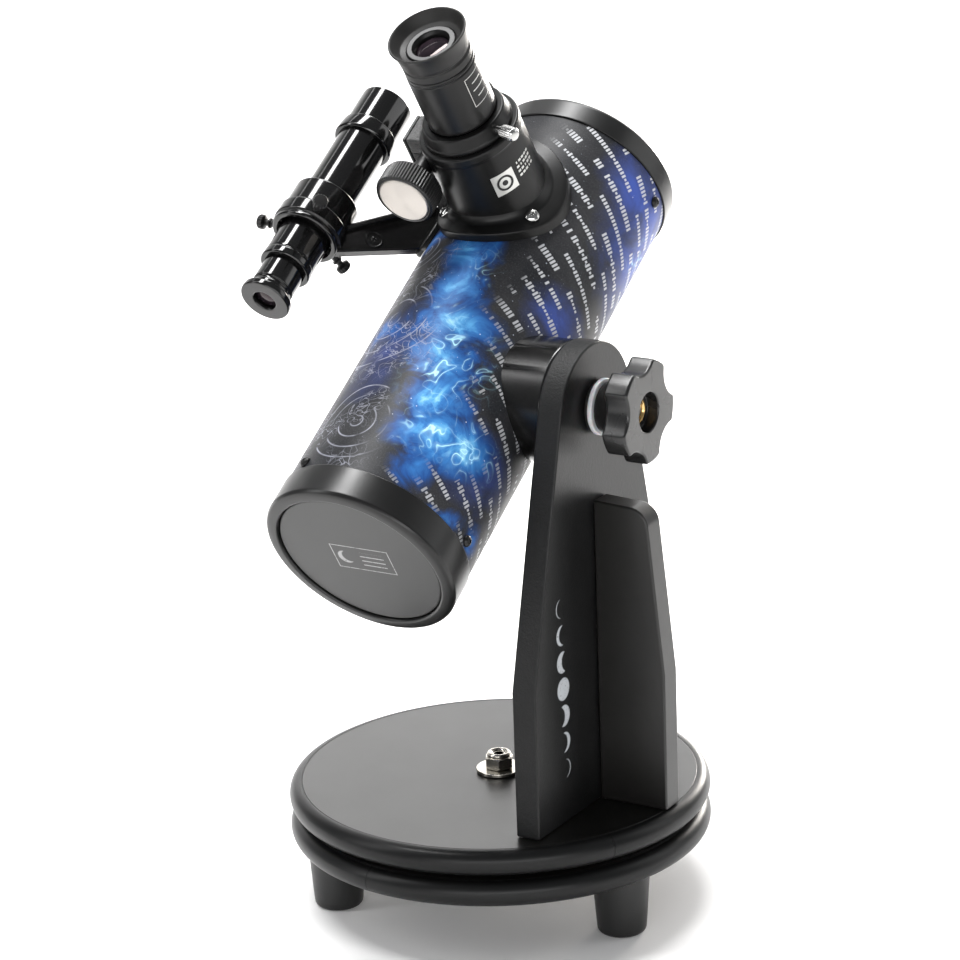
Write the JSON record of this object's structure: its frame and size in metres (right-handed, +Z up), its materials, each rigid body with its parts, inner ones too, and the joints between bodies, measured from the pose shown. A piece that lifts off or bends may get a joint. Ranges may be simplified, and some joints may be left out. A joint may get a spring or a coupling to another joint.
{
  "type": "reflector telescope",
  "caption": "Tabletop reflector telescope: printed tube swung on one arm over a round turntable, side-mounted finder and rack focuser with eyepiece.",
  "frame": {"origin": "under the middle of the object's outline, on the table", "axes": "+Z up; +X along the altitude axle towards its knob; +Y the way the front of the tube points"},
  "size_m": [0.2242, 0.275, 0.4417],
  "materials": {
    "satin_board": "black satin laminate on board",
    "edge_vinyl": "black vinyl edge moulding",
    "black_plastic": "black moulded, semi-matt",
    "nylon": "natural nylon",
    "nickel": "nickel plated",
    "printed_tube": "printed star-field film, satin",
    "mirror": "aluminised",
    "grey_cover": "dark grey satin",
    "black_metal": "black anodised",
    "rubber": "soft black",
    "brass": "bare",
    "chrome": "bright",
    "brushed_steel": "spun face",
    "glass": "coated lens",
    "gloss_plastic": "black polished"
  },
  "bodies": {
    "base": {"ground_board": "satin_board", "ground_board_trim": "edge_vinyl", "foot_1": "black_plastic", "foot_2": "black_plastic", "foot_3": "black_plastic", "glide_pad_1": "nylon", "glide_pad_2": "nylon", "glide_pad_3": "nylon", "azimuth_bolt": "nickel", "azimuth_washer": "nickel", "azimuth_lock_nut": "nickel"},
    "turntable": {"turntable_board": "satin_board", "turntable_trim": "edge_vinyl", "arm_panel": "satin_board", "brace_panel": "satin_board"},
    "tube": {"tube_shell": "printed_tube", "front_ring": "black_plastic", "mirror_cell": "black_plastic", "primary_mirror": "mirror", "rear_cover": "grey_cover", "spider": "black_metal", "secondary_holder": "black_plastic", "secondary_mirror": "mirror", "cell_screw_1": "black_metal", "cell_screw_2": "black_metal", "cell_screw_3": "black_metal", "front_screw_1": "black_metal", "front_screw_2": "black_metal", "front_screw_3": "black_metal", "altitude_hub": "black_plastic", "altitude_bolt": "nickel", "altitude_spacer": "rubber", "altitude_washer": "nylon", "focuser_body": "black_plastic", "pinion_cover": "black_plastic", "focuser_screw_1": "chrome", "focuser_screw_2": "chrome", "focuser_screw_3": "chrome", "finder_bracket": "black_plastic", "bracket_screw": "black_metal"},
    "altitude_knob": {"altitude_knob": "black_plastic", "knob_insert": "brass"},
    "drawtube": {"drawtube": "black_plastic"},
    "focus_shaft": {"pinion_shaft": "chrome", "focus_knob_rear": "black_plastic", "focus_knob_front": "black_plastic", "knob_cap_rear": "brushed_steel", "knob_cap_front": "brushed_steel"},
    "eyepiece": {"eyepiece_body": "black_metal", "eyepiece_eyecup": "rubber", "eyepiece_lens": "glass"},
    "eyepiece_screw": {"eyepiece_thumbscrew": "chrome"},
    "finder": {"finder_tube": "gloss_plastic", "finder_hood": "gloss_plastic", "finder_objective": "glass"},
    "finder_eyepiece": {"finder_eyepiece": "gloss_plastic", "finder_eye_lens": "glass"},
    "finder_screw_1": {"finder_thumbscrew_1": "black_metal"},
    "finder_screw_2": {"finder_thumbscrew_2": "black_metal"},
    "finder_screw_3": {"finder_thumbscrew_3": "black_metal"}
  },
  "joints": [
    {"name": "azimuth_spin", "type": "hinge", "parent": "base", "child": "turntable", "pos_m": [0.00709, -0.01388, 0.05], "axis": [0, 0, 1], "continuous": true},
    {"name": "altitude_swing", "type": "hinge", "parent": "turntable", "child": "tube", "pos_m": [0.05719, -0.01758, 0.258], "axis": [1, 0, 0], "range_deg": [-90, 115]},
    {"name": "altitude_knob_turn", "type": "hinge", "parent": "tube", "child": "altitude_knob", "pos_m": [0.08919, -0.01758, 0.258], "axis": [1, 0, 0], "range_deg": [0, 360]},
    {"name": "focus_slide", "type": "slide", "parent": "tube", "child": "drawtube", "axis": [-0.0332, -0.537, 0.8429], "range_m": [0, 0.022]},
    {"name": "focus_shaft_turn", "type": "hinge", "parent": "tube", "child": "focus_shaft", "pos_m": [-0.03131, 0.01304, 0.36999], "axis": [0, 0.8434, 0.5373], "range_deg": [-320, 0]},
    {"name": "eyepiece_lift", "type": "slide", "parent": "drawtube", "child": "eyepiece", "axis": [-0.0332, -0.537, 0.8429], "range_m": [0, 0.03]},
    {"name": "eyepiece_screw_turn", "type": "hinge", "parent": "drawtube", "child": "eyepiece_screw", "pos_m": [0.01692, -0.00388, 0.3827], "axis": [0.9607, -0.2496, -0.1212], "range_deg": [0, 360]},
    {"name": "finder_slide", "type": "slide", "parent": "tube", "child": "finder", "axis": [0, 0.8434, 0.5373], "range_m": [-0.01, 0.01]},
    {"name": "finder_focus", "type": "slide", "parent": "finder", "child": "finder_eyepiece", "axis": [0, 0.8434, 0.5373], "range_m": [-0.006, 0.001]},
    {"name": "finder_screw_1_turn", "type": "hinge", "parent": "tube", "child": "finder_screw_1", "pos_m": [-0.06953, -0.03528, 0.34719], "axis": [0.5878, -0.4347, 0.6823], "range_deg": [0, 360]},
    {"name": "finder_screw_2_turn", "type": "hinge", "parent": "tube", "child": "finder_screw_2", "pos_m": [-0.07387, -0.01306, 0.31232], "axis": [0.4067, 0.4908, -0.7705], "range_deg": [0, 360]},
    {"name": "finder_screw_3_turn", "type": "hinge", "parent": "tube", "child": "finder_screw_3", "pos_m": [-0.1075, -0.02619, 0.33293], "axis": [-0.9945, -0.0562, 0.0882], "range_deg": [0, 360]}
  ],
  "couplings": [
    {"joint": "focus_shaft_turn", "follows": "focus_slide", "rad_per_m": -250}
  ]
}
